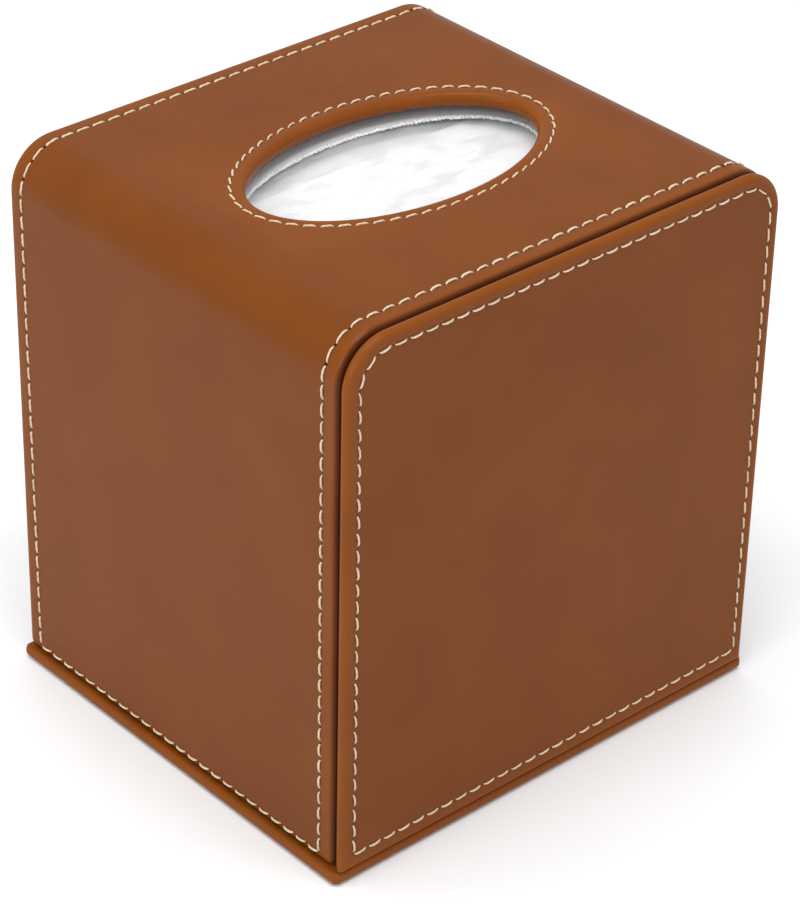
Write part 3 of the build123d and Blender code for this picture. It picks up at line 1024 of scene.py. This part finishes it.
def buildCarton():
    low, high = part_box("carton")
    length, width = carton["tornLength"], carton["tornWidth"]
    clear, fray = carton["cleanEdge"], carton["fray"]
    corners = 2 * carton["teeth"]
    top = (0, 0, high.z)
    piece = addBlock("tissue_carton", low, high)
    openMesh(piece)
    pick(piece, "EDGE", isUpright)
    bpy.ops.mesh.bevel(offset=carton["fold"], segments=3, affect="EDGES")
    pick(piece, "EDGE", lambda edge: allAt(edge, 2, low.z) or allAt(edge, 2, high.z))
    bpy.ops.mesh.bevel(offset=carton["crease"], segments=2, affect="EDGES")
    openOval(piece, high.z, carton["window"], (length + clear, width + clear), corners)
    pick(piece, "EDGE", lambda e: onOval(e, length + clear, width + clear, high.z) and len(e.link_faces) == 1)
    bpy.ops.mesh.extrude_region_move()
    smaller = (length / (length + clear), width / (width + clear), 1)
    bpy.ops.transform.resize(value=smaller, center_override=top)

    def onOddTooth(corner):
        onEdge = near(ovalShare(corner.co, length, width), 1, sameOval) and near(corner.co.z, high.z)
        number = round(math.atan2(corner.co.y / width, corner.co.x / length) / math.tau * corners)
        return onEdge and number % 2 == 1

    # teeth, then a frayed fringe of torn fibres that stands up a little
    pick(piece, "VERT", onOddTooth)
    deeper = (1 + carton["toothDepth"] / length, 1 + carton["toothDepth"] / width, 1)
    bpy.ops.transform.resize(value=deeper, center_override=top)
    pick(piece, "EDGE", lambda edge: len(edge.link_faces) == 1 and near(middleOf(edge).z, high.z))
    bpy.ops.transform.vertex_random(offset=0.3 * fray, uniform=1, normal=0, seed=4)
    pick(piece, "EDGE", lambda edge: len(edge.link_faces) == 1)
    bpy.ops.mesh.extrude_region_move(TRANSFORM_OT_translate={"value": (0, 0, 0.3 * fray)})
    bpy.ops.transform.resize(value=(1 - fray / length, 1 - fray / width, 1), center_override=top)
    bpy.ops.transform.vertex_random(offset=0.4 * fray, uniform=1, normal=0, seed=9)

    # the glued flap on the left and right sides
    cutLoop((0, 0, carton["flapTop"]), (0, 0, 1))
    pick(piece, "FACE", lambda f: abs(f.normal.x) > 0.99 and middleOf(f).z > carton["flapTop"])
    bpy.ops.mesh.inset(thickness=0.01 * mm, depth=-carton["flapStep"])
    closeMesh()
    faceOutwards(piece)
    useModifier(piece, "SOLIDIFY", thickness=carton["board"], offset=-1, use_even_offset=False)

    def torn(place):
        if place.z <= high.z - mm:
            return 0.0
        return (carton["tornReach"] - ovalShare(place, length, width)) / carton["tornFade"]

    paint(piece, "torn", torn)
    finishPiece(piece, cartonBoard, "drawer", "carton", degrees=35)


film = {
    "cells": (150, 98),
    "slitLength": 62 * mm,
    "slitWidth": 3.0 * mm,
    "slitReach": (35 * mm, 5 * mm),   # all of the slit's edge lies within this
    "crinkle": 1.1 * mm,
    "crinkleSize": 7 * mm,
    "sag": 1.3 * mm,
    "sagSize": 30 * mm,
    "lowered": 0.5 * mm,
    "thickness": 0.06 * mm,
}


def crinkle(piece, name, height, size):
    # shifts the mesh up and down by a cloud pattern of the given size
    pattern = bpy.data.textures.new(name, "CLOUDS")
    pattern.noise_scale = size
    pattern.noise_depth = 2
    useModifier(piece, "DISPLACE", texture=pattern, texture_coords="LOCAL", direction="Z",
                strength=height, mid_level=0.5)


def buildFilm():
    low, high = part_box("carton_film")
    middle, span = (low + high) / 2, high - low
    cellsX, cellsY = film["cells"]
    reachX, reachY = film["slitReach"]
    clearSelection()
    bpy.ops.mesh.primitive_grid_add(x_subdivisions=cellsX, y_subdivisions=cellsY, size=1, location=middle)
    piece = nameAndSettle("crinkled_film")
    openMesh(piece)
    bpy.ops.mesh.select_all(action="SELECT")
    bpy.ops.transform.resize(value=(span.x, span.y, 1), center_override=middle)

    def inSlit(face):
        centre = middleOf(face)
        lengthways = 1 - (2 * centre.x / film["slitLength"]) ** 2
        return abs(centre.y) < lengthways * film["slitWidth"] / 2

    pick(piece, "FACE", inSlit)
    bpy.ops.mesh.delete(type="FACE")
    pick(piece, "VERT", lambda c: c.is_boundary and abs(c.co.x) < reachX and abs(c.co.y) < reachY)
    bpy.ops.mesh.vertices_smooth(factor=0.5, repeat=6)
    closeMesh()
    crinkle(piece, "fine crinkle", film["crinkle"], film["crinkleSize"])
    crinkle(piece, "broad sag", film["sag"], film["sagSize"])
    openMesh(piece)
    bpy.ops.mesh.select_all(action="SELECT")
    bpy.ops.transform.translate(value=(0, 0, -film["lowered"]))
    closeMesh()
    useModifier(piece, "SOLIDIFY", thickness=film["thickness"], offset=0, use_even_offset=False)
    finishPiece(piece, clearFilm, "drawer", "carton_film", degrees=70)


tissues = {
    "corner": 3.0 * mm,
    "edge": 1.6 * mm,
    "foldAt": 16.5 * mm,       # the top sheet's fold, seen through the film
    "foldDrop": 2.0 * mm,
    "foldMargin": 1.0 * mm,
    "foldTuck": 0.8 * mm,      # how far the top sheet reaches into the stack
    "foldBelow": 0.5 * mm,     # and how far it stays below the CAD block's top, for its ripples
    "foldCells": 12,
    "ripple": 0.7 * mm,
    "rippleSize": 16 * mm,
}


def buildTissues():
    # a block of folded sheets, and the top one folded back over its front part
    low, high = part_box("tissues")
    stackTop = Vector((high.x, high.y, high.z - tissues["foldDrop"]))
    stack = addBlock("tissue_stack", low, stackTop)
    openMesh(stack)
    pick(stack, "EDGE", isUpright)
    bpy.ops.mesh.bevel(offset=tissues["corner"], segments=5, affect="EDGES")
    pick(stack, "EDGE", lambda edge: allAt(edge, 2, low.z) or allAt(edge, 2, stackTop.z))
    bpy.ops.mesh.bevel(offset=tissues["edge"], segments=4, affect="EDGES")
    closeMesh()

    margin, cells = tissues["foldMargin"], tissues["foldCells"]
    foldLow = Vector((low.x + margin, low.y + margin, stackTop.z - tissues["foldTuck"]))
    foldHigh = Vector((high.x - margin, tissues["foldAt"], high.z - tissues["foldBelow"]))
    fold = addBlock("top_sheet", foldLow, foldHigh)
    openMesh(fold)
    pick(fold, "EDGE", lambda edge: allAt(edge, 2, foldHigh.z))
    bpy.ops.mesh.bevel(offset=tissues["edge"], segments=5, affect="EDGES")
    for step in range(1, cells):
        cutLoop((foldLow.x + (foldHigh.x - foldLow.x) * step / cells, 0, 0), (1, 0, 0))
        cutLoop((0, foldLow.y + (foldHigh.y - foldLow.y) * step / cells, 0), (0, 1, 0))
    closeMesh()
    useModifier(fold, "SUBSURF", levels=2, render_levels=2, subdivision_type="SIMPLE")
    crinkle(fold, "tissue ripple", tissues["ripple"], tissues["rippleSize"])
    finishPiece(stack, tissuePaper, "drawer", "tissues", degrees=60)
    finishPiece(fold, tissuePaper, "drawer", degrees=60)


buildCarton()
buildFilm()
buildTissues()


view = {
    "azimuth": -42.147,
    "elevation": 32.488,
    "roll": 1.261,
    "place": (-0.479016, -0.533590, 0.518684),
    "focalPixels": 3454.24,
    "imageHeight": 915,
    "sensor": 36.0,
    "nearest": 0.01,
}

studio = {
    "floorSize": 8,
    "skyStrength": 0.75,
    "softboxes": [   # name, place, height that it aims at, size, power
        ("overhead softbox", (-0.2, 0.05, 1.3), 0.1, (0.9, 0.8), 5.5),
        ("strip light", (-0.08, -0.34, 1.25), 0.1, (0.7, 0.04), 3.0),
        ("left softbox", (-1.25, -0.15, 0.75), 0.07, (0.8, 0.8), 4.5),
        ("front softbox", (0.2, -1.5, 0.6), 0.07, (1.0, 0.8), 1.5),
    ],
}


def addCamera():
    data = bpy.data.cameras.new("camera")
    data.sensor_width = view["sensor"]
    data.lens = view["focalPixels"] * view["sensor"] / view["imageHeight"]
    data.clip_start = view["nearest"]
    camera = bpy.data.objects.new("camera", data)
    bpy.context.scene.collection.objects.link(camera)
    turned = Matrix.Rotation(math.radians(view["azimuth"]), 4, "Z")
    tilted = Matrix.Rotation(math.radians(90 - view["elevation"]), 4, "X")
    rolled = Matrix.Rotation(math.radians(view["roll"]), 4, "Z")
    camera.matrix_world = Matrix.Translation(view["place"]) @ turned @ tilted @ rolled
    bpy.context.scene.camera = camera


def addSoftbox(name, place, aimHeight, size, power):
    data = bpy.data.lights.new(name, "AREA")
    data.shape = "RECTANGLE"
    data.size, data.size_y = size
    data.energy = power
    light = bpy.data.objects.new(name, data)
    bpy.context.scene.collection.objects.link(light)
    light.location = place
    light.rotation_euler = (Vector((0, 0, aimHeight)) - Vector(place)).to_track_quat("-Z", "Y").to_euler()


def addFloor():
    clearSelection()
    bpy.ops.mesh.primitive_plane_add(size=studio["floorSize"], location=(0, 0, 0))
    floor = nameAndSettle("floor")
    floor.data.materials.append(makeFloor())


def addSky():
    world = bpy.data.worlds.new("studio")
    world.use_nodes = True
    background = world.node_tree.nodes["Background"]
    background.inputs["Color"].default_value = (1, 1, 1, 1)
    background.inputs["Strength"].default_value = studio["skyStrength"]
    bpy.context.scene.world = world


addCamera()
addFloor()
for softbox in studio["softboxes"]:
    addSoftbox(*softbox)
addSky()
bpy.context.scene.view_settings.view_transform = "Standard"
print("floor, lights and camera placed")
